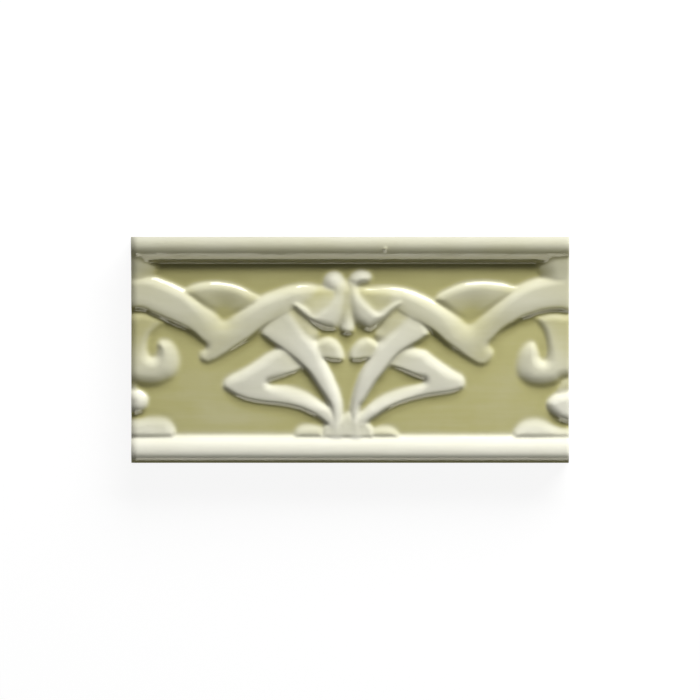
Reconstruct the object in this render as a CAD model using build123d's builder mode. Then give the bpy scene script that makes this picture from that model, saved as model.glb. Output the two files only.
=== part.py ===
"""Glazed relief border tile, moulded and fired as one piece.

The tile lies on its back. X runs along the border, Y from the foot moulding to the
head moulding and Z out of the face. Sizes are in millimetres.
"""
import os

from build123d import *

os.makedirs("parts", exist_ok=True)

# Body
LENGTH = 148.0
HEIGHT = 76.4
GROUND = 8.0  # back to the sunk ground of the panel

# Head moulding, a half-round that leans over the panel
HEAD_WIDTH = 8.5
HEAD_RISE = 4.4
HEAD_CREST = 2.3  # crest in from the head edge
HEAD_DROP = 0.55  # crest down to the arris of the head edge

# Foot moulding
FOOT_WIDTH = 9.8
FOOT_RISE = 2.4
FOOT_CREST = 3.6
FOOT_DROP = 1.3

# Keying grooves across the back
KEY_WIDTH = 4.0
KEY_DEPTH = 0.8
KEY_PITCH = 8.0
KEY_MARGIN = 6.0  # plain border round the grooved field

# Frieze: the size it is drawn at, and the flanks of its raised forms
DRAWN_LENGTH = 148.0
DRAWN_PANEL = 58.1
FLANK = 3.0  # how far a flank leans in from foot to top
FLANK_SHARE = 0.6  # most of a half width that one flank may take
BREAK_RISE = 0.65  # share of the rise at which the flank rolls over
BREAK_FLANK = 0.35  # share of the flank used up below that
BEDDING = 1.0  # how far the forms go down into the ground

# Strokes of the frieze: rise above the ground, then the route as points of
# (x from the middle, y from the foot of the panel, half width)
STROKES = {
    "left outer arm": (1.9, [(-79.4, 50.7, 4.9), (-65.2, 46.6, 5.2), (-57.4, 43.1, 5.2),
                             (-51.0, 37.2, 4.7), (-47.3, 28.4, 4.4)]),
    "left inner arm": (1.8, [(-47.0, 28.4, 4.4), (-39.1, 36.0, 4.5), (-31.6, 40.9, 4.0),
                             (-24.0, 44.1, 4.4), (-16.9, 46.8, 3.0), (-10.8, 47.7, 1.7)]),
    "left crescent": (1.6, [(-56.8, 46.6, 1.4), (-52.0, 48.5, 2.0), (-46.3, 48.8, 2.1),
                            (-39.9, 48.0, 2.0), (-34.5, 45.6, 1.4)]),
    "left scroll stem": (1.2, [(-65.6, 38.9, 1.4), (-68.9, 37.9, 2.7), (-72.0, 34.5, 4.2),
                               (-72.8, 29.1, 4.7), (-71.6, 23.7, 4.4)]),
    "left scroll foot": (1.7, [(-71.4, 22.6, 4.2), (-66.3, 20.6, 4.0), (-62.2, 22.2, 3.6)]),
    "left scroll tip": (1.85, [(-62.0, 22.4, 3.6), (-61.3, 26.5, 3.3), (-62.9, 29.7, 2.4)]),
    "left mound": (1.5, [(-77.0, 0.4, 4.1), (-67.6, 1.0, 4.4), (-63.2, 0.7, 4.1)]),
    "left stem": (1.7, [(-27.7, 39.9, 4.4), (-24.7, 37.0, 4.9), (-20.1, 33.0, 5.0),
                        (-15.0, 28.4, 4.1), (-10.6, 22.0, 3.6), (-7.6, 16.6, 3.4),
                        (-5.2, 10.5, 2.6), (-4.4, 3.4, 2.4)]),
    "left upper leaf": (1.5, [(-20.3, 25.4, 5.1), (-25.0, 23.0, 4.9), (-29.7, 20.5, 4.2),
                              (-35.1, 17.9, 3.2), (-39.9, 16.1, 2.2)]),
    "left lower leaf": (1.6, [(-39.5, 15.7, 2.2), (-32.1, 14.2, 3.0), (-23.0, 12.7, 3.9),
                              (-15.9, 10.8, 3.5), (-10.5, 8.0, 3.2), (-5.7, 4.1, 3.0)]),
    "left limb arm": (1.95, [(-19.3, 43.8, 1.1), (-15.5, 41.6, 1.7), (-11.5, 39.6, 2.2)]),
    "left limb": (2.0, [(-10.8, 39.2, 2.2), (-7.8, 41.2, 2.9), (-5.1, 44.6, 3.0),
                        (-4.7, 48.7, 2.7)]),
    "left link": (1.45, [(-16.2, 39.6, 2.0), (-11.8, 35.8, 3.0), (-8.4, 31.1, 2.7)]),
    "base": (1.15, [(-1.0, 8.8, 5.4), (-1.0, 3.4, 7.1), (-1.0, -0.7, 8.8)]),
    "right outer arm": (1.9, [(79.4, 49.3, 5.1), (63.9, 46.7, 4.9), (55.8, 43.4, 4.7),
                              (49.0, 38.2, 4.3), (45.4, 28.2, 4.2)]),
    "right inner arm": (1.8, [(45.3, 28.1, 4.4), (37.5, 34.3, 4.5), (29.7, 39.6, 4.2),
                              (22.0, 43.3, 4.3), (15.9, 45.5, 3.2), (9.5, 47.5, 1.5)]),
    "right crescent": (1.6, [(30.4, 44.6, 1.4), (35.5, 47.0, 2.0), (41.6, 48.2, 2.1),
                             (47.6, 48.3, 2.1), (53.4, 47.0, 1.7)]),
    "right scroll stem": (1.2, [(64.2, 39.2, 1.7), (67.6, 38.2, 2.9), (71.0, 34.5, 4.4),
                                (72.0, 29.1, 4.7), (71.0, 23.7, 4.4)]),
    "right scroll foot": (1.7, [(69.6, 22.3, 4.2), (64.5, 20.2, 4.0), (60.4, 22.0, 3.7)]),
    "right scroll tip": (1.85, [(60.2, 22.2, 3.7), (59.5, 26.2, 3.3), (61.1, 29.4, 2.4)]),
    "right tie": (1.25, [(73.0, 19.6, 2.0), (73.7, 12.2, 2.0)]),
    "right mound": (1.5, [(58.8, 0.0, 3.0), (63.5, 0.5, 3.9), (69.6, -0.7, 3.0),
                          (75.0, -1.0, 3.0)]),
    "right stem": (1.7, [(25.0, 40.6, 4.1), (22.0, 35.8, 4.1), (16.6, 31.8, 3.7),
                         (11.8, 28.1, 3.6), (8.3, 22.8, 3.2), (4.7, 17.1, 2.9),
                         (2.5, 11.2, 2.4), (1.7, 3.4, 2.4)]),
    "right upper leaf": (1.5, [(17.2, 25.4, 4.6), (21.6, 23.5, 4.4), (26.4, 21.3, 3.9),
                               (31.4, 18.9, 3.0), (36.0, 16.6, 2.4)]),
    "right lower leaf": (1.6, [(35.8, 16.1, 2.2), (30.4, 14.7, 2.9), (24.0, 13.9, 3.1),
                               (16.2, 12.2, 3.1), (9.1, 8.8, 2.9), (4.4, 4.4, 2.9)]),
    "right limb": (2.0, [(2.0, 49.3, 2.2), (2.7, 46.0, 2.7), (5.7, 41.9, 2.9),
                         (9.8, 39.0, 2.2)]),
    "right limb arm": (1.95, [(17.2, 44.6, 1.4), (13.5, 41.9, 1.9), (10.1, 39.0, 2.0)]),
    "right link": (1.45, [(15.2, 39.6, 2.0), (10.8, 35.8, 3.0), (7.1, 31.1, 2.7)]),
}

# Bosses of the frieze: rise, x, y, half width, half height
BOSSES = {
    "left ball": (1.65, -5.4, 51.4, 3.4, 3.4),
    "left bead": (1.55, -6.1, 28.1, 4.2, 3.7),
    "left bud": (1.8, -73.0, 11.0, 5.1, 4.7),
    "left knob": (1.3, -13.2, -0.7, 5.1, 3.4),
    "drop": (1.75, -0.8, 38.5, 2.7, 4.7),
    "right ball": (1.65, 4.1, 52.2, 3.5, 2.4),
    "right bead": (1.55, 4.1, 28.1, 4.2, 3.7),
    "right bud": (1.8, 73.0, 9.6, 6.4, 3.5),
    "right knob": (1.3, 11.5, -1.0, 5.4, 3.4),
}

head = HEIGHT / 2
foot = -HEIGHT / 2
panel_foot = foot + FOOT_WIDTH
panel = HEIGHT - HEAD_WIDTH - FOOT_WIDTH


def on_panel(x, y):
    """Place a point of the frieze drawing on the tile's panel."""
    return Vector(x * LENGTH / DRAWN_LENGTH, panel_foot + y * panel / DRAWN_PANEL)


def levels(rise):
    """Foot, break and top of a raised form, each with the share of the flank used up there."""
    return [(-BEDDING, 0), (BREAK_RISE * rise, BREAK_FLANK), (rise, 1)]


def inset(half_width):
    """How far the flank of a form of that half width leans in."""
    return min(FLANK, FLANK_SHARE * half_width)


def stroke(rise, route):
    """A stem or leaf: its sides run beside the route, and its ends are round."""
    line = [on_panel(x, y) for x, y, half_width in route]
    ways = [(line[min(i + 1, len(line) - 1)] - line[max(i - 1, 0)]).normalized()
            for i in range(len(line))]
    with BuildPart() as piece:
        for level, lean in levels(rise):
            widths = [half_width - lean * inset(half_width) for x, y, half_width in route]
            sides = [way.rotate(Axis.Z, 90) * width for way, width in zip(ways, widths)]
            left = [point + side for point, side in zip(line, sides)]
            right = [point - side for point, side in zip(line, sides)]
            with BuildSketch(Plane.XY.offset(GROUND + level)):
                with BuildLine():
                    Spline(left, tangents=(ways[0], ways[-1]))
                    ThreePointArc(left[-1], line[-1] + ways[-1] * widths[-1], right[-1])
                    Spline(right[::-1], tangents=(-ways[-1], -ways[0]))
                    ThreePointArc(right[0], line[0] - ways[0] * widths[0], left[0])
                make_face()
        loft(ruled=True)
    return piece.part


def boss(rise, x, y, half_width, half_height):
    """A round or oval knob."""
    lean_in = inset(min(half_width, half_height))
    with BuildPart() as piece:
        for level, lean in levels(rise):
            with BuildSketch(Plane.XY.offset(GROUND + level)):
                with Locations(on_panel(x, y)):
                    Ellipse(half_width - lean * lean_in, half_height - lean * lean_in)
        loft(ruled=True)
    return piece.part


relief = [stroke(*form) for form in STROKES.values()]
relief += [boss(*form) for form in BOSSES.values()]

foot_crest = (foot + FOOT_CREST, GROUND + FOOT_RISE)
head_crest = (head - HEAD_CREST, GROUND + HEAD_RISE)
foot_arris = (foot, GROUND + FOOT_RISE - FOOT_DROP)
head_arris = (head, GROUND + HEAD_RISE - HEAD_DROP)

with BuildPart() as tile:
    with BuildSketch(Plane.YZ):
        with BuildLine():
            Polyline(head_arris, (head, 0), (foot, 0), foot_arris)
            TangentArc(foot_crest, foot_arris, tangent=(-1, 0))
            TangentArc(foot_crest, (panel_foot, GROUND), tangent=(1, 0))
            Line((panel_foot, GROUND), (head - HEAD_WIDTH, GROUND))
            TangentArc(head_crest, (head - HEAD_WIDTH, GROUND), tangent=(-1, 0))
            TangentArc(head_crest, head_arris, tangent=(1, 0))
        make_face()
    extrude(amount=LENGTH / 2, both=True)
    add(relief)
    Box(LENGTH, HEIGHT, 2 * (GROUND + HEAD_RISE), mode=Mode.INTERSECT)
    keys = 2 * int((HEIGHT - 2 * KEY_MARGIN) / (2 * KEY_PITCH))
    with BuildSketch():
        with GridLocations(0, KEY_PITCH, 1, keys):
            Rectangle(LENGTH - 2 * KEY_MARGIN, KEY_WIDTH)
    extrude(amount=KEY_DEPTH, mode=Mode.SUBTRACT)

tile.part.label = "tile"
export_step(tile.part, "parts/tile.step")
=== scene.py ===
"""Glazed relief border tile: the fired surface, its glaze and a plain studio."""
import math
import typing

import bpy
import numpy as np
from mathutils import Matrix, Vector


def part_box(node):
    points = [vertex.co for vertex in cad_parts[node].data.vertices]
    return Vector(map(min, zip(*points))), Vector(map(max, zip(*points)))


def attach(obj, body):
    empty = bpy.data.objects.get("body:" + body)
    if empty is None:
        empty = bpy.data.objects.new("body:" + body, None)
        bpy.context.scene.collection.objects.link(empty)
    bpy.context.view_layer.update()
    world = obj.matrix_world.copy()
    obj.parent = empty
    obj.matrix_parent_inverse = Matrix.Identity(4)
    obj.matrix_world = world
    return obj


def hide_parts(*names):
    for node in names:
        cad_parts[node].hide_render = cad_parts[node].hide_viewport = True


bl_info = {
    "name": "Glazed Relief Border Tile",
    "version": (1, 0, 0),
    "blender": (4, 5, 0),
    "location": "3D View > Sidebar > Border Tile",
    "description": "Builds a glazed border tile with a raised stem and leaf frieze",
    "category": "Add Mesh",
}

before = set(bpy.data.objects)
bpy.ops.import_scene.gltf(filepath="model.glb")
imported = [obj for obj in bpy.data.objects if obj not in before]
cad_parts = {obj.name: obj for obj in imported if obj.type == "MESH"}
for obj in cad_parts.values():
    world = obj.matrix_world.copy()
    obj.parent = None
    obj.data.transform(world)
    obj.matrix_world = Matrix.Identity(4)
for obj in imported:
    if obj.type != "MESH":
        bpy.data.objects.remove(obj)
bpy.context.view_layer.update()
LOW, HIGH = (np.array(corner) * 1000 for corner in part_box("tile"))
MM = 0.001


class Form(typing.NamedTuple):
    """One raised form of the frieze, in drawing units: 438 to the length of the tile and 172 to
    the height of the panel, u from the middle and v from the foot of the panel."""
    outline: list  # (u, v, width of the rounded flank there)
    spots: list  # (u, v, rise in mm), where the crown passes
    power: float  # of the curve of its flanks
    edge: float  # share of its rise that a steep edge takes
    depth: float  # of the glaze on it


# The forms are laid in this order, and a later one sinks those that it crosses.
FORMS = {
    "left corner": Form(
        outline=[(-245, 212, 18), (-208, 210, 18), (-191, 190, 18), (-188, 174, 18),
                 (-191, 158, 18), (-204, 140, 16), (-245, 136, 16)],
        spots=[(-222, 178, 3.1), (-216, 166, 2.2), (-216, 152, 1.6)],
        power=1.2, edge=0, depth=0),
    "right corner": Form(
        outline=[(245, 212, 18), (203, 210, 18), (185, 190, 18), (182, 174, 18), (186, 158, 18),
                 (200, 140, 16), (245, 136, 16)],
        spots=[(218, 178, 2.9), (212, 166, 2.4), (212, 152, 1.9)],
        power=1.2, edge=0, depth=0),
    "left crescent": Form(
        outline=[(-172, 141, 8), (-164, 146.5, 7), (-155, 150, 7), (-145, 152, 7), (-135, 152.5, 7),
                 (-125, 151.5, 7), (-115, 149.5, 7), (-106, 146, 7), (-98, 142, 8), (-89, 137, 8),
                 (-91, 126, 8), (-110, 118, 8), (-126, 108, 8), (-142, 120, 8), (-158, 132, 8)],
        spots=[(-165, 143, 1.4), (-150, 147, 1.6), (-135, 148, 1.65), (-120, 146.5, 1.6),
               (-106, 142, 1.4), (-143, 138, 1.4), (-128, 138, 1.25), (-114, 136, 1.2),
               (-126, 128, 0.7), (-126, 119, 0.4)],
        power=0.6, edge=0, depth=0),
    "right crescent": Form(
        outline=[(84, 133, 8), (86, 138, 7), (93, 142.5, 7), (101, 146.5, 7), (109, 149.5, 7),
                 (117, 151.5, 7), (126, 152.5, 7), (136, 153, 7), (146, 152, 7), (154, 151, 7),
                 (162, 149, 8), (170, 147, 8), (164, 136, 8), (148, 126, 8), (134, 114, 8),
                 (120, 106, 8), (106, 114, 8), (94, 124, 8)],
        spots=[(90, 137, 1.3), (103, 143.5, 1.5), (117, 148, 1.6), (133, 149, 1.6), (150, 147, 1.5),
               (104, 135, 1.25), (118, 138, 1.2), (134, 139, 1.3), (146, 138, 1.35),
               (119, 127, 0.7), (120, 118, 0.4)],
        power=0.6, edge=0, depth=0),
    "left web": Form(
        outline=[(-64, 138, 6), (-44, 146, 6), (-28, 149, 6), (-14, 146, 6), (-12, 130, 6),
                 (-34, 112, 6), (-56, 120, 6)],
        spots=[(-50, 134, 1.7), (-36, 133, 1.6), (-24, 138, 1.6), (-30, 146, 1.3)],
        power=0.9, edge=0, depth=0.35),
    "right web": Form(
        outline=[(8, 146, 6), (22, 147, 6), (42, 146, 6), (58, 138, 6), (50, 120, 6), (30, 113, 6),
                 (8, 130, 6)],
        spots=[(16, 140, 1.55), (28, 135, 1.6), (44, 134, 1.7)],
        power=0.9, edge=0, depth=0.35),
    "left link": Form(
        outline=[(-74, 118, 6), (-60, 132, 6), (-46, 128, 6), (-36, 118, 8), (-31, 108, 11),
                 (-27, 101, 12), (-30, 92, 11), (-40, 84, 6), (-56, 92, 6), (-68, 106, 6)],
        spots=[(-50, 114, 1.4), (-34, 104, 1.3)],
        power=0.9, edge=0, depth=0.15),
    "right link": Form(
        outline=[(68, 118, 6), (56, 132, 6), (42, 128, 6), (32, 118, 8), (26, 108, 11),
                 (21, 101, 12), (24, 92, 11), (34, 84, 6), (50, 92, 6), (62, 106, 6)],
        spots=[(46, 114, 1.4), (29, 103, 1.3)],
        power=0.9, edge=0, depth=0.15),
    "base": Form(
        outline=[(-30, -6.5, 5), (-28, 7, 5), (-22, 13, 5), (-12, 17, 6), (-1, 24, 6), (9, 17, 6),
                 (18, 13, 5), (24, 7, 5), (26, -6.5, 5), (18, -6.5, 5), (10, -6.5, 5), (2, -6.5, 5),
                 (-6, -6.5, 5), (-14, -6.5, 5), (-22, -6.5, 5)],
        spots=[(-1, -4, 1.45), (-1, 2, 1.35), (-19, 5, 1.2), (16, 5, 1.2), (-1, 12, 1.2),
               (-1, 20, 0.9)],
        power=0.9, edge=0, depth=0),
    "left tie": Form(
        outline=[(-230, 58, 6), (-215, 56, 6), (-210.5, 49, 6), (-211, 41, 6), (-215, 35, 6),
                 (-230, 33, 6)],
        spots=[(-216, 45, 0.8)],
        power=0.9, edge=0, depth=0),
    "right tie": Form(
        outline=[(230, 62, 6), (214, 57, 6), (208, 50, 6), (205, 42, 6), (207, 35, 6),
                 (230, 32, 6)],
        spots=[(214, 46, 0.8)],
        power=0.9, edge=0, depth=0),
    "left leaf": Form(
        outline=[(-128.5, 47, 6), (-127, 53.5, 7), (-121.5, 58.5, 8), (-113, 63, 10),
                 (-103, 68.5, 10), (-95, 73.5, 10), (-87, 79, 10), (-79, 85, 10), (-73, 89.5, 10),
                 (-64, 94, 10), (-48, 90, 10), (-32, 72, 9), (-36, 64.5, 7), (-47.5, 62, 6),
                 (-55, 58.8, 6), (-64, 56, 6), (-73, 53.3, 5), (-80, 50.6, 7), (-73, 50.4, 10),
                 (-65, 50.2, 12), (-57, 48.7, 13), (-49, 46, 13), (-41, 42.5, 12), (-34, 38, 11),
                 (-27, 32.5, 8), (-16, 26, 8), (-9, 12, 8), (-16, 1, 8), (-26, 8.5, 8),
                 (-33, 14, 9), (-40, 18, 9), (-48, 21.7, 9), (-58, 24.7, 9), (-70, 26.8, 9),
                 (-82, 28, 9), (-94, 29.6, 9), (-104, 31.7, 9), (-113, 35, 8), (-120, 38.8, 7),
                 (-125.5, 42.7, 6)],
        spots=[(-120, 50, 1.1), (-105, 52, 1.39), (-92, 58, 1.45), (-80, 70, 1.45), (-66, 76, 1.22),
               (-56, 70, 1.05), (-90, 42, 1.3), (-70, 39, 1.3), (-50, 34, 1.3), (-35, 28, 1.39),
               (-22, 18, 1.28)],
        power=0.9, edge=0.73, depth=-0.35),
    "right leaf": Form(
        outline=[(46, 94, 10), (62, 89, 10), (70, 86.5, 9), (77, 84, 9), (83, 79.5, 10),
                 (91, 73.5, 10), (99, 68, 10), (106, 63.5, 9), (112.5, 60, 8), (116, 55, 7),
                 (116.5, 49, 6), (114.5, 44.5, 6), (109, 41, 7), (101, 38.8, 8), (92, 37.4, 9),
                 (82, 36.1, 9), (72, 34.1, 9), (62, 31.6, 9), (52, 28.6, 9), (43, 24.8, 9),
                 (35, 20.2, 9), (28, 15.5, 8), (21, 10.8, 8), (14, 3, 8), (2, 4, 8), (-1, 16, 8),
                 (11, 24, 8), (18, 29.5, 8), (24, 34.5, 11), (31, 39.3, 12), (39, 43.3, 13),
                 (47, 46.3, 13), (56, 48.8, 12), (65, 50.8, 10), (73, 52.6, 7), (66, 55.4, 5),
                 (57, 58.8, 6), (49, 62, 6), (42, 64.2, 6), (34, 65.5, 7), (22, 68, 8),
                 (24, 82, 10)],
        spots=[(108, 50, 1.16), (95, 52, 1.39), (82, 60, 1.45), (70, 70, 1.45), (58, 76, 1.22),
               (48, 72, 1.05), (85, 44, 1.3), (65, 41, 1.3), (45, 35, 1.3), (30, 28, 1.39),
               (16, 18, 1.28)],
        power=0.9, edge=0.73, depth=-0.35),
    "left bead": Form(
        outline=[(-38, 90, 6), (-29, 97, 7), (-21, 99, 8), (-14, 96, 8), (-9, 91, 8), (-6, 85, 8),
                 (-4.5, 79, 7), (-4.5, 74, 6), (-8, 71, 6), (-15, 70.5, 6), (-22, 71.5, 6),
                 (-30, 73, 6), (-38, 80, 6)],
        spots=[(-18, 84, 1.25)],
        power=1, edge=0.6, depth=0),
    "right bead": Form(
        outline=[(30, 91, 6), (19, 98, 7), (12, 97, 8), (6, 93.5, 8), (1.5, 88, 8), (-1.5, 81.5, 7),
                 (-2, 75.5, 6), (1, 71.5, 6), (8, 70.5, 6), (15, 71.5, 6), (24, 73, 6),
                 (30, 82, 6)],
        spots=[(12, 84, 1.25)],
        power=1, edge=0.6, depth=0),
    "left stem": Form(
        outline=[(-92, 101, 8), (-90, 109, 8), (-84, 122, 10), (-70, 133, 10), (-56, 130, 10),
                 (-47, 114, 10), (-42, 106, 10), (-37, 100, 10), (-31, 92, 10), (-27, 84, 9),
                 (-24.5, 77, 9), (-21, 69, 9), (-17, 60, 9), (-13, 51, 9), (-9.5, 42, 9),
                 (-7, 33, 9), (-6, 24, 9), (-5.5, 14, 9), (-3, 4, 9), (-3, -10, 8), (-24, -10, 8),
                 (-22, 8, 8), (-21, 18, 8), (-22.5, 27, 8), (-26, 33.5, 8), (-31, 41, 8),
                 (-36, 48.5, 8), (-41, 56, 8), (-45, 61, 8), (-50, 66, 9), (-56, 71.5, 10),
                 (-63, 77.5, 10), (-70, 82.5, 10), (-77, 87, 10), (-84, 92, 10), (-90, 97, 8)],
        spots=[(-82, 104, 1.32), (-70, 108, 1.45), (-58, 100, 1.58), (-45, 88, 1.72),
               (-34, 70, 1.72), (-24, 50, 1.65), (-16, 30, 1.52), (-13, 12, 1.32)],
        power=0.9, edge=0.73, depth=-0.4),
    "right stem": Form(
        outline=[(45, 114, 10), (54, 130, 10), (66, 130, 10), (76, 118, 9), (81, 106, 8),
                 (82, 99, 8), (77, 95, 8), (71, 90.5, 9), (64, 86.5, 10), (57, 82.5, 10),
                 (50, 77.5, 10), (44, 71, 9), (39, 64.5, 8), (34, 58, 8), (29, 52, 8),
                 (24.5, 45.5, 8), (20, 38.5, 8), (16, 32, 8), (12, 26, 8), (11, 16, 8), (14, 6, 8),
                 (16, -10, 8), (-4, -10, 8), (-3, 6, 9), (-2, 18, 9), (-0.5, 28, 9), (1.5, 38, 9),
                 (4, 47, 9), (7, 56, 9), (11, 65, 9), (15.5, 73, 9), (19.5, 80, 9), (23.5, 88, 9),
                 (28, 95, 10), (34, 102, 10), (41, 108.5, 10)],
        spots=[(66, 105, 1.45), (54, 106, 1.52), (44, 96, 1.65), (34, 82, 1.72), (24, 66, 1.72),
               (15, 48, 1.65), (7, 28, 1.45), (5, 10, 1.32)],
        power=0.9, edge=0.73, depth=-0.4),
    "left arm": Form(
        outline=[(-230, 158.5, 10), (-212, 161, 10), (-202, 160.5, 10), (-192, 158, 10),
                 (-182, 154, 10), (-172, 149.5, 10), (-163, 145, 10), (-152, 137, 11),
                 (-142, 129.5, 13), (-133, 122, 15), (-126, 115, 17), (-118, 119.5, 15),
                 (-110, 124.5, 11), (-103, 130, 10), (-96, 135, 10), (-88, 139.5, 10),
                 (-78, 143.5, 10), (-68, 147, 10), (-58, 149.5, 9), (-48, 151, 9), (-38, 150.5, 8),
                 (-31, 148.5, 8), (-27.5, 144, 8), (-29, 138, 9), (-35, 131, 10), (-44, 125, 10),
                 (-54, 122, 10), (-62, 117.5, 11), (-70, 113, 11), (-78, 108.7, 11),
                 (-86, 103.5, 11), (-93, 98, 11), (-100, 92.5, 11), (-107, 88, 11),
                 (-114, 83.5, 11), (-122, 78.3, 10), (-130, 73.5, 10), (-137, 70, 9),
                 (-143, 68.5, 9), (-149, 71, 7), (-152, 76, 6), (-150, 83, 7), (-146, 87, 8),
                 (-150, 91, 9), (-156, 96.5, 9), (-163, 101.5, 10), (-171, 105.5, 11),
                 (-180, 109.5, 11), (-190, 113.5, 11), (-200, 118, 11), (-210, 122, 11),
                 (-230, 125, 11)],
        spots=[(-219, 143, 1.9), (-190, 135, 1.9), (-165, 124, 1.8), (-145, 108, 1.4),
               (-135, 92, 1.15), (-143, 77, 0.95), (-118, 100, 1.4), (-95, 117, 1.7),
               (-70, 132, 1.8), (-48, 138, 1.75), (-34, 142, 1.4)],
        power=0.9, edge=0.73, depth=0.04),
    "right arm": Form(
        outline=[(12, 141, 8), (16, 146, 8), (24, 148, 8), (34, 149, 9), (44, 148.5, 9),
                 (54, 147, 9), (64, 144, 9), (74, 140, 10), (83, 135.5, 10), (90, 131.5, 10),
                 (98, 126.5, 11), (106, 121, 13), (113, 115.5, 15), (119.5, 111, 17),
                 (127, 116, 15), (135, 122.5, 12), (142, 129.5, 11), (150, 137, 11), (158, 143, 10),
                 (166, 148, 10), (174, 152, 10), (183, 155.5, 10), (193, 158.5, 10), (203, 161, 10),
                 (213, 162.5, 10), (230, 163, 10), (230, 121.5, 12), (210, 121, 13),
                 (200, 120.5, 13), (190, 118.5, 13), (182, 116, 13), (174, 113.5, 13),
                 (167, 109.5, 13), (160, 105.5, 13), (153, 101, 12), (147, 95, 11), (142, 89, 9),
                 (145, 84, 7), (144.5, 77, 6), (141, 70.5, 7), (135, 66.5, 9), (128, 67, 10),
                 (120, 71, 10), (112, 76.3, 11), (105, 81.5, 11), (99, 85.5, 11), (93, 90, 11),
                 (87, 95.5, 11), (80, 101, 11), (72, 106, 11), (64, 110.3, 11), (56, 114.5, 11),
                 (50, 118, 11), (44, 121.5, 10), (36, 124, 10), (28, 128, 10), (20, 134, 9)],
        spots=[(217, 143, 1.9), (190, 138, 1.9), (165, 128, 1.8), (148, 112, 1.45), (136, 95, 1.15),
               (136, 78, 0.95), (115, 96, 1.4), (92, 113, 1.7), (68, 126, 1.8), (45, 136, 1.75),
               (26, 141, 1.4)],
        power=0.9, edge=0.73, depth=0.12),
    "left lip": Form(
        outline=[(-155, 83, 6), (-151, 86.5, 6), (-147, 83, 6), (-144, 77, 6), (-139, 72, 6),
                 (-142, 68, 6), (-148, 69.5, 6), (-153, 75, 6)],
        spots=[(-149, 78, 0.5)],
        power=1.2, edge=0, depth=0),
    "right lip": Form(
        outline=[(137, 87, 6), (142, 88, 6), (146.5, 83, 6), (146, 76, 6), (141.5, 70.5, 6),
                 (136, 68, 6), (137, 74, 6), (138, 82, 6)],
        spots=[(143, 80, 0.5)],
        power=1.2, edge=0, depth=0),
    "left scroll": Form(
        outline=[(-234, 121, 12), (-214, 124, 9), (-204, 124, 8), (-195, 121, 8), (-186, 116, 7),
                 (-183, 110, 7), (-190, 104, 7), (-197, 98, 7), (-200.5, 91, 7), (-201, 84, 8),
                 (-199, 79, 10), (-196, 79, 10), (-194.5, 84, 9), (-195, 90, 9), (-192, 95, 10),
                 (-185, 96.5, 12), (-177, 94, 14), (-171.5, 87.5, 16), (-168, 79, 17),
                 (-167, 70, 17), (-169, 61.5, 16), (-174.5, 54, 15), (-183, 49, 14), (-192, 46, 13),
                 (-201, 45, 13), (-209, 45.5, 13), (-216, 47, 12), (-234, 48, 12)],
        spots=[(-214, 112, 1.05), (-203, 115, 1), (-193, 112, 0.85), (-212, 90, 1),
               (-214, 74, 1.35), (-205, 65, 1.5), (-192, 62, 1.5), (-182, 71, 1.5),
               (-186, 84, 1.45)],
        power=1.1, edge=0, depth=0.3),
    "right scroll": Form(
        outline=[(234, 120, 12), (213, 123, 9), (203, 123.5, 8), (194, 122.5, 8), (184, 120, 7),
                 (180, 116, 7), (186, 110, 7), (191, 104, 7), (194, 97, 7), (195.5, 90, 7),
                 (196, 83, 8), (195.5, 77.5, 9), (194, 75, 10), (191.5, 78, 10), (190, 83.5, 9),
                 (188, 89, 9), (184.5, 93, 9), (179, 93.5, 11), (173, 90, 13), (167.5, 83.5, 15),
                 (164.5, 75, 16), (163.5, 67, 16), (165, 59, 15), (169.5, 52.5, 14),
                 (177, 47.5, 13), (185, 45, 13), (194, 44.5, 13), (202, 46, 12), (209, 49, 11),
                 (215, 53, 11), (234, 57, 12)],
        spots=[(210, 113, 1.15), (199, 116, 1.1), (189, 115, 0.9), (208, 92, 1.2), (208, 75, 1.4),
               (200, 64, 1.55), (189, 61, 1.55), (179, 69, 1.55), (181, 82, 1.5), (213, 66, 1.4)],
        power=1.1, edge=0, depth=0.25),
    "left bud": Form(
        outline=[(-230, 45, 9), (-214, 45.5, 9), (-206, 42.5, 9), (-201.5, 36, 9), (-202, 27.5, 9),
                 (-207, 21, 9), (-215, 18.5, 9), (-230, 18.5, 9)],
        spots=[(-213, 32, 1.78)],
        power=0.8, edge=0, depth=-0.2),
    "right bud": Form(
        outline=[(230, 43, 9), (212, 42.5, 9), (203, 39, 9), (197, 33, 9), (196.5, 27, 9),
                 (200, 20, 9), (206, 14.5, 9), (213, 11, 9), (230, 9.5, 9)],
        spots=[(212, 28, 1.78)],
        power=0.8, edge=0, depth=-0.2),
    "left mound": Form(
        outline=[(-230, 15.5, 9), (-212, 17, 9), (-200, 18.5, 9), (-190, 18.5, 9), (-181, 15.5, 9),
                 (-175.5, 9.5, 9), (-173, 2, 7), (-176, -5, 6), (-183, -6, 6), (-190, -6, 6),
                 (-197, -6, 6), (-204, -6, 6), (-211, -6, 6), (-218, -6, 6), (-230, -6, 6)],
        spots=[(-200, 16, 0.7), (-200, -2, 1.35), (-218, 4, 1.2)],
        power=0.8, edge=0, depth=-0.15),
    "right mound": Form(
        outline=[(164, -5, 6), (162.5, 1, 7), (166, 8, 9), (172, 13.5, 9), (180, 16.5, 9),
                 (189, 16.5, 9), (197, 14, 9), (205, 10, 9), (213, 7.5, 9), (230, 6.5, 9),
                 (230, -6, 6), (218, -6, 6), (211, -6, 6), (204, -6, 6), (197, -6, 6), (190, -6, 6),
                 (183, -6, 6), (176, -6, 6), (170, -6, 6)],
        spots=[(184, 14, 0.7), (184, -2, 1.35), (214, 4, 1.0)],
        power=0.8, edge=0, depth=-0.15),
    "left knob": Form(
        outline=[(-58, 0, 7), (-56, 5, 7), (-51, 9.5, 7), (-44, 11.5, 7), (-36, 11.5, 7),
                 (-29, 10, 7), (-25, 6, 7), (-25, -5, 5), (-33, -5.5, 5), (-41, -5.5, 5),
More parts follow.
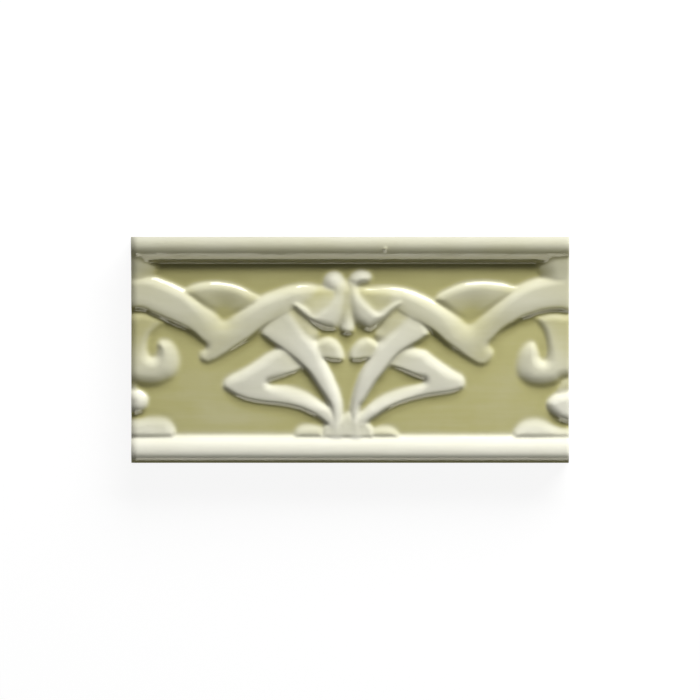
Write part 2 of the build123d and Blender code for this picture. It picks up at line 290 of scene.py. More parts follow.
                 (-49, -5.5, 5), (-56, -5, 5)],
        spots=[(-40, 9, 0.7), (-40, -2, 1.2)],
        power=1.1, edge=0, depth=0.35),
    "right knob": Form(
        outline=[(17, -5, 5), (17, 3, 6), (22, 7.5, 7), (29, 9.5, 7), (37, 9.5, 7), (44, 7.5, 7),
                 (49, 3.5, 7), (51.5, -1, 6), (50, -5, 5), (42, -5.5, 5), (34, -5.5, 5),
                 (26, -5.5, 5)],
        spots=[(34, 8, 0.7), (34, -2, 1.2)],
        power=1.1, edge=0, depth=0.35),
    "pendant": Form(
        outline=[(-14, 150, 9), (-13, 138, 9), (-13, 126, 9), (-12.5, 114, 9), (-12, 106.5, 7),
                 (-9.5, 101, 5), (-5, 98.8, 4), (0.5, 99, 4), (4.5, 101.5, 5), (6, 107, 7),
                 (6.5, 118, 9), (7, 135, 9), (8, 150, 9)],
        spots=[(-2, 145, 1.5), (-2, 125, 1.6), (-3, 108, 1.6)],
        power=0.9, edge=0.25, depth=-0.1),
    "left limb": Form(
        outline=[(-63, 130.5, 5), (-57, 134, 5), (-50, 133.5, 5), (-44, 130, 5), (-39, 126, 5),
                 (-35.5, 123, 6), (-32, 126.5, 7), (-27, 132, 8), (-23, 137, 9), (-21, 143, 9),
                 (-19, 152, 9), (-8, 156, 9), (0, 150, 9), (0, 138, 9), (-1, 130, 9), (-3, 120, 9),
                 (-6, 112, 9), (-10, 105.5, 9), (-14, 102, 9), (-20, 101.5, 10), (-27, 102.5, 10),
                 (-34, 105, 9), (-40, 109, 7), (-46, 113.5, 6), (-52, 119, 5), (-58, 125, 5)],
        spots=[(-57, 130, 2.15), (-46, 123, 2.1), (-36, 115, 2.1), (-26, 117, 2.05),
               (-16, 125, 1.95), (-10, 140, 1.8), (-14, 112, 1.75)],
        power=0.9, edge=0, depth=-0.15),
    "right limb": Form(
        outline=[(-3, 153, 9), (-5, 142, 9), (-5, 132, 9), (-3, 122, 9), (0.5, 114, 9), (5, 108, 9),
                 (10, 105, 9), (15, 102, 9), (20, 100.5, 10), (26, 103, 10), (32, 107.5, 9),
                 (37, 112.5, 7), (42, 118, 6), (47, 122.5, 5), (53, 127.5, 5), (57, 132, 5),
                 (51, 136, 5), (45, 135, 5), (39, 132, 5), (33, 128, 6), (29, 124.5, 6),
                 (25.5, 127.5, 7), (21, 133, 8), (16, 139, 9), (11.5, 144, 9), (8, 149, 9),
                 (5, 154, 9)],
        spots=[(51, 131, 2.15), (40, 124, 2.1), (30, 116, 2.1), (20, 119, 2.05), (10, 130, 1.95),
               (3, 142, 1.8), (14, 112, 1.75)],
        power=0.9, edge=0, depth=-0.15),
    "left ball": Form(
        outline=[(-16, 165, 10), (-25.2, 161, 10), (-29, 151.5, 10), (-25.2, 142.3, 9),
                 (-16, 138.5, 9), (-6.8, 142.3, 9), (-3, 151.5, 10), (-6.8, 161, 10)],
        spots=[(-16, 151.5, 1.6)],
        power=1.2, edge=0, depth=-0.8),
    "right ball": Form(
        outline=[(11, 166, 9), (20, 163.5, 9), (24.5, 157, 9), (21, 150, 8), (12, 147, 8),
                 (2, 145, 8), (-3, 155, 8), (2.5, 163, 9)],
        spots=[(10, 156, 1.5)],
        power=1.2, edge=0, depth=-0.8),
}
DRAWN_LENGTH = 438.0
DRAWN_PANEL = 172.0
WORN_MIDDLE = (-3, 132, 0)  # of the frieze, where the glaze blurs it
WORN_REACH = (48, 28)
WORN_BLUR = 0.7  # mm
PIPS = ((35, 185, 0.3), (31, 173, 0.25))  # place and height, in mm, of two flaws in the head's glaze
PIP_RADIUS = 0.55  # mm

FACE_COLUMNS = 388
FACE_ROWS = 200
SIDE_ROWS = 3  # rows down each long edge
STEPS = 12  # points worked out between two of an outline
SHARP_ANGLE = 60  # degrees between faces that meet in an arris

ROLL_END = 0.94  # share of the head's inner side at which its wall begins
ROLL_BEND = 0.53  # share of that which bends
ROLL_FALL = 0.46  # share of the drop that lies above the wall
EDGE_FOOT_RISE = 0.3  # share of a steep edge's height that its foot takes
EDGE_FOOT_RUN = 0.2  # share of its run
FORM_MARGIN = 4.0  # mm round a form within which its heights are worked out
FAR = 99.0  # mm, stands for any place beyond that
SINK_RUN = 1.1  # mm over which the sinking beside a form fades
FACE_BLUR = 0.3  # mm
LEFT_END = (2.4, 0.8)  # width and drop of the rounding, in mm
RIGHT_END = (0.7, 0.15)
GROOVE_LEAN = 0.02  # mm by which a groove's sides lean, each way

SHADE_SHIFT = 0.9  # mm by which the heights behind the painted shade and painted light are shifted towards the head
CLOSE_BLUR = 1.6  # mm
WIDE_BLUR = 5.0  # mm
PAINTED_SHADOW_REACH = 2.9  # mm of ground on the foot side of a form that gets a painted shadow
PALE_ARRIS = 2.0  # mm at the head edge where the glaze thins
BARE_LINE = (2.4, 2.8)  # mm above the bed between which the glaze ends
BARE_WANDER = 1.2  # mm

FLOOR_HALF = 3.0  # m
FLOOR_GLOW = 1.06
FLOOR_SEEN = 0.85  # share of the glow in what the camera and the glaze see
LAMP_AIM = (0, 0, 0.01)
KEY_PLACE = (0.29, 0.7, 0.31)
KEY_SIZE = (0.86, 0.40)
STRIP_PLACE = (0.0, -2.0, 1.16)
STRIP_SIZE = (2.1, 1.0)
STRIP_COLOUR = (1, 0.97, 0.82)
VIEW_LEVEL = 11.0  # mm above the floor at which the picture's width is measured
SENSOR = 36.0  # mm


class TileSizes(bpy.types.PropertyGroup):
    """Sizes of the tile that the frame does not give by itself, in millimetres."""
    ground: bpy.props.FloatProperty(
        name="Ground", description="Back to the sunk ground, in mm", default=8.0, min=3.0)
    head_width: bpy.props.FloatProperty(
        name="Head Width", description="Width of the head moulding, in mm", default=8.5, min=1.0)
    head_rise: bpy.props.FloatProperty(
        name="Head Rise", description="Head moulding above the ground, in mm", default=4.4, min=0.2)
    head_crest: bpy.props.FloatProperty(
        name="Head Crest", description="Crest in from the head edge, in mm", default=2.3, min=0.2)
    head_drop: bpy.props.FloatProperty(
        name="Head Drop", description="Crest down to the head arris, in mm", default=0.22, min=0.1)
    foot_width: bpy.props.FloatProperty(
        name="Foot Width", description="Width of the foot moulding, in mm", default=9.8, min=1.0)
    foot_rise: bpy.props.FloatProperty(
        name="Foot Rise", description="Foot moulding above the ground, in mm", default=2.2, min=0.2)
    foot_crest: bpy.props.FloatProperty(
        name="Foot Crest", description="Crest in from the foot edge, in mm", default=3.6, min=0.2)
    foot_drop: bpy.props.FloatProperty(
        name="Foot Drop", description="Crest down to the foot arris, in mm", default=1.7, min=0.1)
    edge_run: bpy.props.FloatProperty(
        name="Edge Run", description="Width of the steep edges, in mm", default=1.6, min=0.2)
    flank: bpy.props.FloatProperty(
        name="Flank", description="Scale of the widths of the rounded flanks", default=1.3, min=0.2)
    melt: bpy.props.FloatProperty(
        name="Melt", description="How far the glaze rounds the hollows, in mm", default=0.35, min=0.0)
    sink: bpy.props.FloatProperty(
        name="Sink", description="Depth by which a form sinks what it crosses, in mm",
        default=0.05, min=0.0)
    key_width: bpy.props.FloatProperty(
        name="Groove Width", description="Width of a keying groove in the back, in mm",
        default=4.0, min=0.5)
    key_depth: bpy.props.FloatProperty(
        name="Groove Depth", description="Depth of a keying groove, in mm", default=0.8, min=0.0)
    key_pitch: bpy.props.FloatProperty(
        name="Groove Pitch", description="Groove to groove, in mm", default=8.0, min=1.0)
    key_margin: bpy.props.FloatProperty(
        name="Groove Margin", description="Plain border round the grooves, in mm", default=6.0, min=0.5)


class GlazeColours(bpy.types.PropertyGroup):
    """Colours of the glaze where it is thin and where it pools, which also carry painted shade and
    painted light.
    """
    # pale also serves as painted light on raised work low on the panel
    pale: bpy.props.FloatVectorProperty(
        name="Pale", description="Thin glaze on the foot moulding", subtype="COLOR",
        default=(0.68, 0.67, 0.57), min=0.0, max=1.0)
    ivory: bpy.props.FloatVectorProperty(
        name="Ivory", description="Glaze on the raised work", subtype="COLOR",
        default=(0.555, 0.543, 0.405), min=0.0, max=1.0)
    olive: bpy.props.FloatVectorProperty(
        name="Olive", description="Glaze pooled on the ground", subtype="COLOR",
        default=(0.42, 0.395, 0.175), min=0.0, max=1.0)
    # deep also paints shade on flanks that face the foot and a painted shadow on the ground beside them
    deep_and_shade: bpy.props.FloatVectorProperty(
        name="Deep", description="Glaze in the deepest hollows", subtype="COLOR",
        default=(0.27, 0.25, 0.09), min=0.0, max=1.0)
    side: bpy.props.FloatVectorProperty(
        name="Side", description="Glaze that ran down the edges", subtype="COLOR",
        default=(0.37, 0.355, 0.27), min=0.0, max=1.0)
    body: bpy.props.FloatVectorProperty(
        name="Body", description="Bare body on the back and low on the sides", subtype="COLOR",
        default=(0.37, 0.34, 0.29), min=0.0, max=1.0)


class StageSettings(bpy.types.PropertyGroup):
    """Camera, lamps and floor."""
    view_width: bpy.props.FloatProperty(
        name="View Width", description="Width of the picture at the tile's face",
        default=0.2365, min=0.05, unit="LENGTH")
    camera_height: bpy.props.FloatProperty(
        name="Camera Height", description="Camera above the floor", default=1.6, min=0.3, unit="LENGTH")
    key_power: bpy.props.FloatProperty(
        name="Key Power", description="Power of the softbox beyond the head edge", default=19.0, min=0.0,
        unit="POWER")
    strip_power: bpy.props.FloatProperty(
        name="Strip Power", description="Power of the panel mirrored in the glaze", default=46.0, min=0.0,
        unit="POWER")
    ambient: bpy.props.FloatProperty(
        name="Ambient", description="Strength of the light from all round", default=0.17, min=0.0)


def smooth_loop(points):
    """Smooth closed line through the points: between two of them, the cubic whose slope at
    each point is half the step between its neighbours."""
    points = np.asarray(points, float)
    a, b, c, d = (np.roll(points, 1 - k, axis=0)[:, None] for k in range(4))
    t = np.linspace(0, 1, STEPS, endpoint=False)[None, :, None]
    line = b + 0.5 * t * (c - a + t * (2 * a - 5 * b + 4 * c - d + t * (3 * (b - c) + d - a)))
    return line.reshape(-1, points.shape[1])


def smooth_max(a, b, reach):
    """The higher of two heights, with the corner between them filled over that reach."""
    overlap = np.clip(reach - np.abs(a - b), 0, None) / max(reach, 1e-6)
    return np.maximum(a, b) + reach * overlap ** 2 / 4


def smoothed(field, sigma):
    """Gaussian blur of a field on the face grid, sigma in cells, edges held."""
    reach = max(1, int(3 * sigma))
    kernel = np.exp(-0.5 * (np.arange(-reach, reach + 1) / sigma) ** 2)
    kernel /= kernel.sum()
    for axis in (0, 1):
        pad = [(reach, reach) if k == axis else (0, 0) for k in (0, 1)]
        wide = np.pad(field, pad, mode="edge")
        size = field.shape[axis]
        field = sum(w * np.take(wide, np.arange(k, k + size), axis=axis) for k, w in enumerate(kernel))
    return field


def through_spots(x, y, spots):
    """Smooth surface through spots of (x, y, height): their mean plus one hyperboloid,
    sqrt(distance^2 + 36), about each, weighted so that the sum meets every spot."""
    def bowl(x, y):
        return np.sqrt((x - spots[:, 0]) ** 2 + (y - spots[:, 1]) ** 2 + 36)
    mean = spots[:, 2].mean()
    weight = np.linalg.solve(bowl(spots[:, :1], spots[:, 1:2]), spots[:, 2] - mean)
    return mean + bowl(x, y) @ weight


def falling_arc(run, width, drop):
    """Fall of an arc that leaves its crest level and drops that much over that width."""
    radius = (width ** 2 + drop ** 2) / (2 * drop)
    return radius - np.sqrt(np.clip(radius ** 2 - np.minimum(run, width) ** 2, 0, None))


def falling_roll(run, width, drop):
    """Fall of a roll that leaves its crest level, bends evenly over half of the way to its wall,
    runs on straight with less than half of the drop, and falls the rest as a wall."""
    way = np.clip(run / width, 0, ROLL_END) / ROLL_END
    bent = np.where(way < ROLL_BEND, way ** 2 / (2 * ROLL_BEND), way - ROLL_BEND / 2)
    bent /= 1 - ROLL_BEND / 2
    wall = np.clip((run / width - ROLL_END) / (1 - ROLL_END), 0, 1)
    return drop * (ROLL_FALL * bent + (1 - ROLL_FALL) * wall)


def end_rounding(distance, width, drop):
    """Fall towards an end of the tile, an arc over that width, by the distance from the end."""
    return falling_arc(np.clip(width - distance, 0, None), width, drop)


class Relief:
    """The frieze drawing placed on the tile, and the heights that it gives."""

    def __init__(self, sizes):
        self.sizes = sizes
        self.panel_foot = LOW[1] + sizes.foot_width
        panel = HIGH[1] - sizes.head_width - self.panel_foot
        self.scale = np.array(((HIGH[0] - LOW[0]) / DRAWN_LENGTH, panel / DRAWN_PANEL))

    def place(self, points):
        """Drawing to tile: u stretched with the length, v with the panel, and the third
        column, a width, with the length."""
        points = np.array(points, float)
        points[:, :2] *= self.scale
        points[:, 1] += self.panel_foot
        return points

    def mouldings(self, y):
        """Heights of the head and the foot moulding above the ground, each of two curves
        that meet level at its crest."""
        s = self.sizes
        rise = s.head_rise
        run = HIGH[1] - s.head_crest - y
        head = rise - np.where(run > 0, falling_roll(run, s.head_width - s.head_crest, rise),
                               falling_arc(-run, s.head_crest, s.head_drop))
        run = y - LOW[1] - s.foot_crest
        foot = s.foot_rise - np.where(run > 0, falling_arc(run, s.foot_width - s.foot_crest, s.foot_rise),
                                      falling_arc(-run, s.foot_crest, s.foot_drop))
        return head, foot

    def raised(self, x, y, form):
        """Height of one form, and how far each point lies outside it. Each point of the
        outline offers a share of the rise: a crown, (1 - (1 - distance / flank)^2)^power,
        mixed with a steep edge that climbs in two straight lines, the first one steeper.
        The edge weighs most where the outline faces the foot of the tile and nothing where
        it faces the head. The least offer holds, and the rise is a smooth surface through
        the spots."""
        line = self.place(smooth_loop(form.outline))
        spots = self.place(form.spots)
        px, py, flank = line.T
        flank = flank * self.sizes.flank * self.scale[0]
        qx, qy = np.roll(px, -1), np.roll(py, -1)
        turn = np.sign(np.sum(px * qy - qx * py))
        facing = turn * (np.roll(px, 1) - qx) / np.hypot(qx - np.roll(px, 1), qy - np.roll(py, 1))
        steep = form.edge * np.clip(0.5 - 0.7 * facing, 0, 1)
        near = ((x > px.min() - FORM_MARGIN) & (x < px.max() + FORM_MARGIN)
                & (y > py.min() - FORM_MARGIN) & (y < py.max() + FORM_MARGIN))
        gx, gy = x[near][:, None], y[near][:, None]
        gap = np.hypot(gx - px, gy - py)
        meets = px + (gy - py) * (qx - px) / np.where(qy == py, 1, qy - py)
        crossing = ((py > gy) != (qy > gy)) & (gx < meets)
        inside = crossing.sum(axis=1) % 2 == 1
        crown = (1 - (1 - np.clip(gap / flank, 0, 1)) ** 2) ** form.power
        run = gap / self.sizes.edge_run
        foot = np.clip(run / EDGE_FOOT_RUN, 0, 1)
        upper = np.clip((run - EDGE_FOOT_RUN) / (1 - EDGE_FOOT_RUN), 0, 1)
        climb = EDGE_FOOT_RISE * foot + (1 - EDGE_FOOT_RISE) * upper
        share = np.where(inside, (crown + steep * (climb - crown)).min(axis=1), 0)
        rise = through_spots(gx, gy, spots)
        height = np.zeros(x.shape)
        outside = np.full(x.shape, FAR)
        height[near] = rise * share
        outside[near] = np.where(inside, 0, gap.min(axis=1))
        return height, outside

    def heights(self, x, y):
        """Height of the glazed face above the ground and depth of the glaze on its raised
        work, form after form, each sinking what lies beside it before it is laid."""
        s = self.sizes
        height = np.zeros(x.shape)
        glaze = np.zeros(x.shape)
        for form in FORMS.values():
            rise, outside = self.raised(x, y, form)
            glaze = np.where(rise > height, form.depth, glaze)
            height = height - np.minimum(s.sink, 0.35 * height) * np.exp(-(outside / SINK_RUN) ** 2)
            height = smooth_max(height, rise, s.melt)
        head, foot = self.mouldings(y)
        height = smooth_max(height, head, 0.5 * s.melt)
        glaze = np.where(np.maximum(head, foot) > height, 0, glaze)
        return smooth_max(height, foot, s.melt), glaze


def glaze_pool_and_shade(y, height, glaze, cell, sizes):
    """How deep the glaze pools, with painted shade and painted light mixed in: -1 on the foot
    moulding, 0 on raised work, 1 on the ground and 2 in the deepest hollow. It grows as the
    height falls short, on level places more than on flanks and where the face lies below its
    own blur. Painted shade deepens it on flanks that face the foot, away from the key, and a
    painted shadow on the ground beside them; all is worked from heights shifted towards the head,
    so edges facing the head come out paler as painted light. Painted light makes raised work
    paler towards the foot, and the glaze thins at the head arris."""
    # painted shade and painted light: the pooling is worked from heights shifted towards the head, so
    # flanks facing the foot come out darker and edges facing the head paler
    shift = round(SHADE_SHIFT / cell)
    shifted = np.vstack((np.repeat(height[:1], shift, axis=0), height[:-shift]))
    close = smoothed(shifted, CLOSE_BLUR / cell) - shifted
    wide = smoothed(shifted, WIDE_BLUR / cell) - shifted
    above_foot = y - LOW[1] - sizes.foot_width
    # pale: the thin glaze of the foot moulding, and painted light that makes raised work paler towards
    # the foot
    pale = 0.1 * np.clip(1 - above_foot / 7, 0, 1) + 0.85 * np.clip(1 - above_foot / 50, 0, 1) - 0.2
    slope = np.hypot(*np.gradient(shifted, cell))
    level = np.clip(1.3 - shifted / 1.4, 0, 1) * np.exp(-(slope / 0.25) ** 2)
    pool_and_shade = np.maximum(np.clip(1 - shifted / 0.9, 0, 1), level)
    pool_and_shade += 0.4 * np.clip(close, -0.5, 1) + 0.3 * np.clip(wide, -0.5, 1.5)
    # painted shade on flanks that face the foot, away from the key
    pool_and_shade += 1.6 * np.clip(np.gradient(height, cell, axis=0) - 0.15, 0, 0.7)
    pool_and_shade += (glaze - pale) * np.clip(height / 1.1, 0, 1)
    # painted shadow on the ground on the foot side of each form, kept off the ground just below the head
    reach = round(PAINTED_SHADOW_REACH / cell)
    shadow_caster_rise = np.vstack((height[reach:], np.repeat(height[-1:], reach, axis=0))) - height
    below_head = np.clip((HIGH[1] - sizes.head_width - y) / 4 - 0.25, 0, 1)
    pool_and_shade += 1.2 * below_head * np.clip(shadow_caster_rise - 0.15, 0, 1) * np.clip(1 - height / 0.6, 0, 1)
    pool_and_shade -= 0.7 * np.clip(1 - (HIGH[1] - y) / PALE_ARRIS, 0, 1)
    return smoothed(pool_and_shade, 0.7 / cell)


def glazed_face(sizes):
    """Grid of the glazed face: x, y and z in millimetres, and the depth of its glaze with painted
    shade and painted light mixed in. The heights are blurred a little, more in the worn middle,
    and each pip is a bell, rise * exp(-(distance / radius)^2)."""
    x_line = np.linspace(LOW[0], HIGH[0], FACE_COLUMNS)
    y_line = np.linspace(LOW[1], HIGH[1], FACE_ROWS)
    x, y = np.meshgrid(x_line, y_line)
    cell = x_line[1] - x_line[0]
    relief = Relief(sizes)
    height, glaze = relief.heights(x, y)
    height = smoothed(height, FACE_BLUR / cell)
    middle = relief.place([WORN_MIDDLE])[0]
    across, along = np.array(WORN_REACH) * relief.scale
    worn = np.exp(-((x - middle[0]) / across) ** 2 - ((y - middle[1]) / along) ** 2)
    height += worn * (smoothed(height, WORN_BLUR / cell) - height)
    for u, v, rise in PIPS:
        pip_x, pip_y, _ = relief.place([(u, v, 0)])[0]
        height += rise * np.exp(-((x - pip_x) ** 2 + (y - pip_y) ** 2) / PIP_RADIUS ** 2)
    pool_and_shade = glaze_pool_and_shade(y, height, glaze, cell, sizes)
    ends = end_rounding(x - LOW[0], *LEFT_END) + end_rounding(HIGH[0] - x, *RIGHT_END)
    return x, y, sizes.ground + height - ends, pool_and_shade


def grooved_back(sizes, x_line):
    """Rows across the back from the head edge to the foot edge: y of each row, and its
    heights along x, which step up into the keying grooves."""
    count = 2 * int((HIGH[1] - LOW[1] - 2 * sizes.key_margin) / (2 * sizes.key_pitch))
    middles = (np.arange(count)[::-1] - (count - 1) / 2) * sizes.key_pitch
    half = sizes.key_width / 2
    steps = np.array((half + GROOVE_LEAN, half - GROOVE_LEAN, GROOVE_LEAN - half, -half - GROOVE_LEAN))
    y = (middles[:, None] + steps).ravel()
    sunk = np.tile((0, 1, 1, 0), count)
    along = (x_line > LOW[0] + sizes.key_margin) & (x_line < HIGH[0] - sizes.key_margin)
    z = sizes.key_depth * sunk[:, None] * along
    return y, z


def closed_mesh(name, sizes):
    """The tile as one closed grid: each column runs over the face, down the head edge,
    back over the rear and up the foot edge, and the two ends are flat caps."""
    x, y, z, pool_and_shade = glazed_face(sizes)
    rows, columns = x.shape
    share = np.linspace(1, 0, SIDE_ROWS + 2)[1:-1, None]
    back_y, back_z = grooved_back(sizes, x[0])
    flat = np.zeros((1, columns))
    heights = np.vstack((z, z[-1] * share, flat, back_z, flat, z[0] * share[::-1]))
    side_rows = np.ones(SIDE_ROWS + 1)
    depths = np.concatenate((y[:, 0], HIGH[1] * side_rows, back_y, LOW[1] * side_rows))
    around = len(depths)
    points = np.stack((np.broadcast_to(x[0], heights.shape),
                       np.broadcast_to(depths[:, None], heights.shape), heights), axis=-1)
    index = np.arange(around * columns).reshape(around, columns)
    onward = np.roll(index, -1, axis=0)
    quads = np.stack((index[:, :-1], index[:, 1:], onward[:, 1:], onward[:, :-1]), axis=-1)
    ends = [index[:, -1].tolist(), index[::-1, 0].tolist()]
    mesh = bpy.data.meshes.new(name)
    mesh.from_pydata((points.reshape(-1, 3) * MM).tolist(), [], quads.reshape(-1, 4).tolist() + ends)
    depth = np.zeros((around, columns), np.float32)
    depth[:rows] = pool_and_shade
    mesh.attributes.new("pool_and_shade", "FLOAT", "POINT").data.foreach_set("value", depth.ravel())
    side = np.ones(len(mesh.polygons), np.float32)
    side[:(rows - 1) * (columns - 1)] = 0
    mesh.attributes.new("side", "FLOAT", "FACE").data.foreach_set("value", side)
    mesh.update()
    return mesh


def new_material(name):
    """A node material with an empty tree."""
    material = bpy.data.materials.new(name)
    material.use_nodes = True
    material.node_tree.nodes.clear()
    return material, material.node_tree.nodes.new, material.node_tree.links.new


def glaze_material(colours):
    """Glossy translucent glaze over a bare body. The glaze is ivory where thin and olive where
    it pools, darker with painted shade and paler with painted light as the pooling attribute gives,
    clouded and faintly streaked along the tile. It stops in an uneven line low on
    the sides and leaves the back bare."""
    material, node, link = new_material("celadon_glaze")
    place = node("ShaderNodeTexCoord").outputs["Object"]

    def noise(scale, detail):
        stretch = node("ShaderNodeMapping")
        stretch.inputs["Scale"].default_value = scale
        link(place, stretch.inputs["Vector"])
        cloud = node("ShaderNodeTexNoise")
        cloud.inputs["Scale"].default_value = 1
        cloud.inputs["Detail"].default_value = detail
        link(stretch.outputs["Vector"], cloud.inputs["Vector"])
        return cloud.outputs["Fac"]

    def span(value, low, high, to_low, to_high):
        fit = node("ShaderNodeMapRange")
        limits = {"From Min": low, "From Max": high, "To Min": to_low, "To Max": to_high}
        for name, number in limits.items():
            fit.inputs[name].default_value = number
        link(value, fit.inputs["Value"])
        return fit.outputs["Result"]

    def total(a, b):
        plus = node("ShaderNodeMath")
        link(a, plus.inputs[0])
        link(b, plus.inputs[1])
        return plus.outputs["Value"]

    depth = node("ShaderNodeAttribute")
    depth.attribute_name = "pool_and_shade"
    clouds = span(noise((70, 70, 70), 3), 0.3, 0.7, -0.1, 0.1)
    streaks = span(noise((30, 330, 60), 2), 0.3, 0.7, -0.07, 0.07)
    pool_shade_tone = total(total(depth.outputs["Fac"], clouds), streaks)
    tint = node("ShaderNodeValToRGB")
    ramp = tint.color_ramp.elements
    ramp.new(1 / 3)
    ramp.new(2 / 3)
    for stop, colour in zip(ramp, (colours.pale, colours.ivory, colours.olive, colours.deep_and_shade)):
        stop.color = (*colour, 1)
    link(span(pool_shade_tone, -1, 2, 0, 1), tint.inputs["Fac"])
    waves = node("ShaderNodeBump")
    waves.inputs["Strength"].default_value = 0.35
    waves.inputs["Distance"].default_value = 0.12 * MM
    link(noise((120, 300, 120), 2), waves.inputs["Height"])
    glaze = node("ShaderNodeBsdfPrincipled")
    glaze.inputs["IOR"].default_value = 1.36
    edge = node("ShaderNodeAttribute")
    edge.attribute_name = "side"
    coat = node("ShaderNodeMix")
    coat.data_type = "RGBA"
    link(edge.outputs["Fac"], coat.inputs["Factor"])
    link(tint.outputs["Color"], coat.inputs["A"])
    coat.inputs["B"].default_value = (*colours.side, 1)
    link(coat.outputs["Result"], glaze.inputs["Base Color"])
    link(span(noise((200, 200, 200), 2), 0.3, 0.7, 0.05, 0.1), glaze.inputs["Roughness"])
    link(waves.outputs["Normal"], glaze.inputs["Normal"])

    grain = noise((900, 900, 900), 4)
    fired = node("ShaderNodeMix")
    fired.data_type = "RGBA"
    link(span(grain, 0.3, 0.7, 0, 1), fired.inputs["Factor"])
    fired.inputs["A"].default_value = (*(0.86 * np.array(colours.body)), 1)
    fired.inputs["B"].default_value = (*colours.body, 1)
    rough = node("ShaderNodeBump")
    rough.inputs["Strength"].default_value = 0.4
    rough.inputs["Distance"].default_value = 0.1 * MM
    link(grain, rough.inputs["Height"])
    body = node("ShaderNodeBsdfPrincipled")
    body.inputs["Roughness"].default_value = 0.85
    link(fired.outputs["Result"], body.inputs["Base Color"])
    link(rough.outputs["Normal"], body.inputs["Normal"])

    height = node("ShaderNodeSeparateXYZ")
    link(place, height.inputs["Vector"])
    wander = span(noise((90, 90, 20), 3), 0.3, 0.7, -BARE_WANDER * MM, BARE_WANDER * MM)
    line = total(height.outputs["Z"], wander)
    cover = node("ShaderNodeMixShader")
    link(span(line, BARE_LINE[0] * MM, BARE_LINE[1] * MM, 0, 1), cover.inputs["Fac"])
    link(body.outputs["BSDF"], cover.inputs[1])
    link(glaze.outputs["BSDF"], cover.inputs[2])
    out = node("ShaderNodeOutputMaterial")
    link(cover.outputs["Shader"], out.inputs["Surface"])
    return material


def floor_material():
    """Pale floor: white to the camera and in reflections, with the tile's soft shadow."""
    material, node, link = new_material("floor_paper")

    def worked(operation, a, b):
        step = node("ShaderNodeMath")
        step.operation = operation
        link(a, step.inputs[0])
        link(b, step.inputs[1])
        return step.outputs["Value"]

    matt = node("ShaderNodeBsdfDiffuse")
    matt.inputs["Color"].default_value = (0.8, 0.8, 0.8, 1)
    glow = node("ShaderNodeEmission")
    glow.inputs["Color"].default_value = (1, 1, 1, 1)
    glow.inputs["Strength"].default_value = FLOOR_GLOW
    most = node("ShaderNodeValue").outputs["Value"]
    most.default_value = FLOOR_SEEN
    ray = node("ShaderNodeLightPath").outputs
    mirrored = worked("MAXIMUM", ray["Is Glossy Ray"], ray["Is Transmission Ray"])
    seen = worked("MAXIMUM", ray["Is Camera Ray"], mirrored)
    mix = node("ShaderNodeMixShader")
    link(worked("MULTIPLY", seen, most), mix.inputs["Fac"])
    link(matt.outputs["BSDF"], mix.inputs[1])
    link(glow.outputs["Emission"], mix.inputs[2])
    out = node("ShaderNodeOutputMaterial")
    link(mix.outputs["Shader"], out.inputs["Surface"])
    return material


def soft_lamp(name, place, aim, size, power):
    """A rectangular softbox that faces the aim point."""
    lamp = bpy.data.lights.new(name, "AREA")
    lamp.shape = "RECTANGLE"
    lamp.size, lamp.size_y = size
    lamp.energy = power
    box = bpy.data.objects.new(name, lamp)
    bpy.context.scene.collection.objects.link(box)
    box.location = place
    way = np.array(aim) - np.array(place)
    tilt = math.atan2(math.hypot(way[0], way[1]), -way[2])
    box.rotation_euler = (tilt, 0, math.atan2(-way[0], way[1]))
    return box


class BORDERTILE_OT_tile(bpy.types.Operator):
    """Build the glazed tile over its frame"""
    bl_idname = "bordertile.tile"
    bl_label = "Glazed Tile"

    def execute(self, context):
        mesh = closed_mesh("glazed_tile", context.scene.tile_sizes)
        mesh.shade_smooth()
        mesh.set_sharp_from_angle(angle=math.radians(SHARP_ANGLE))
        tile = bpy.data.objects.new("glazed_tile", mesh)
        context.scene.collection.objects.link(tile)
        tile.data.materials.append(glaze_material(context.scene.glaze_colours))
        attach(tile, "root")
        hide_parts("tile")
        return {"FINISHED"}


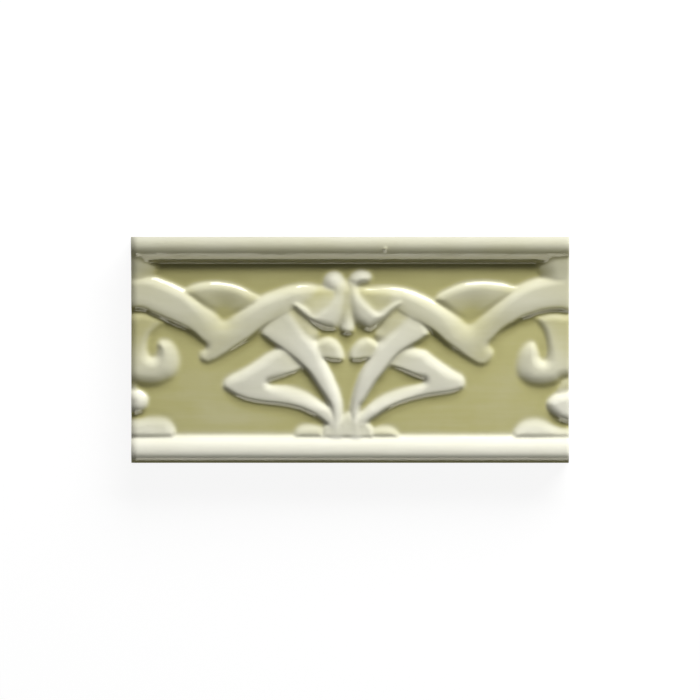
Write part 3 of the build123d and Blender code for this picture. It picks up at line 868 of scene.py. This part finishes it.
class BORDERTILE_OT_stage(bpy.types.Operator):
    """Set the floor, the lamps and the camera"""
    bl_idname = "bordertile.stage"
    bl_label = "Stage"

    def execute(self, context):
        scene = context.scene
        stage = scene.stage_settings
        half = FLOOR_HALF
        corners = [(-half, -half, 0), (half, -half, 0), (half, half, 0), (-half, half, 0)]
        mesh = bpy.data.meshes.new("floor")
        mesh.from_pydata(corners, [], [(0, 1, 2, 3)])
        floor = bpy.data.objects.new("floor", mesh)
        scene.collection.objects.link(floor)
        floor.data.materials.append(floor_material())
        soft_lamp("key", KEY_PLACE, LAMP_AIM, KEY_SIZE, stage.key_power)
        strip = soft_lamp("strip", STRIP_PLACE, LAMP_AIM, STRIP_SIZE, stage.strip_power)
        strip.visible_diffuse = False
        strip.data.color = STRIP_COLOUR
        world = bpy.data.worlds.new("studio")
        world.use_nodes = True
        sky = world.node_tree.nodes["Background"].inputs
        sky["Color"].default_value = (1, 1, 1, 1)
        sky["Strength"].default_value = stage.ambient
        scene.world = world
        camera = bpy.data.cameras.new("camera")
        eye = bpy.data.objects.new("camera", camera)
        scene.collection.objects.link(eye)
        eye.location = (0, 0, stage.camera_height)
        camera.sensor_width = SENSOR
        camera.lens = SENSOR * (stage.camera_height - VIEW_LEVEL * MM) / stage.view_width
        scene.camera = eye
        scene.view_settings.view_transform = "Standard"
        return {"FINISHED"}


class BORDERTILE_PT_panel(bpy.types.Panel):
    """Lists the tile's operators and settings"""
    bl_idname = "BORDERTILE_PT_panel"
    bl_label = "Border Tile"
    bl_space_type = "VIEW_3D"
    bl_region_type = "UI"
    bl_category = "Border Tile"

    def draw(self, context):
        column = self.layout.column()
        scene = context.scene
        for group in (scene.tile_sizes, scene.glaze_colours, scene.stage_settings):
            for name in group.__annotations__:
                column.prop(group, name)
        column.operator(BORDERTILE_OT_tile.bl_idname)
        column.operator(BORDERTILE_OT_stage.bl_idname)


CLASSES = (TileSizes, GlazeColours, StageSettings, BORDERTILE_OT_tile, BORDERTILE_OT_stage,
           BORDERTILE_PT_panel)


def register():
    for cls in CLASSES:
        bpy.utils.register_class(cls)
    bpy.types.Scene.tile_sizes = bpy.props.PointerProperty(type=TileSizes)
    bpy.types.Scene.glaze_colours = bpy.props.PointerProperty(type=GlazeColours)
    bpy.types.Scene.stage_settings = bpy.props.PointerProperty(type=StageSettings)


def unregister():
    del bpy.types.Scene.stage_settings
    del bpy.types.Scene.glaze_colours
    del bpy.types.Scene.tile_sizes
    for cls in reversed(CLASSES):
        bpy.utils.unregister_class(cls)


def main():
    register()
    bpy.ops.bordertile.tile()
    bpy.ops.bordertile.stage()


if __name__ == "__main__":
    main()
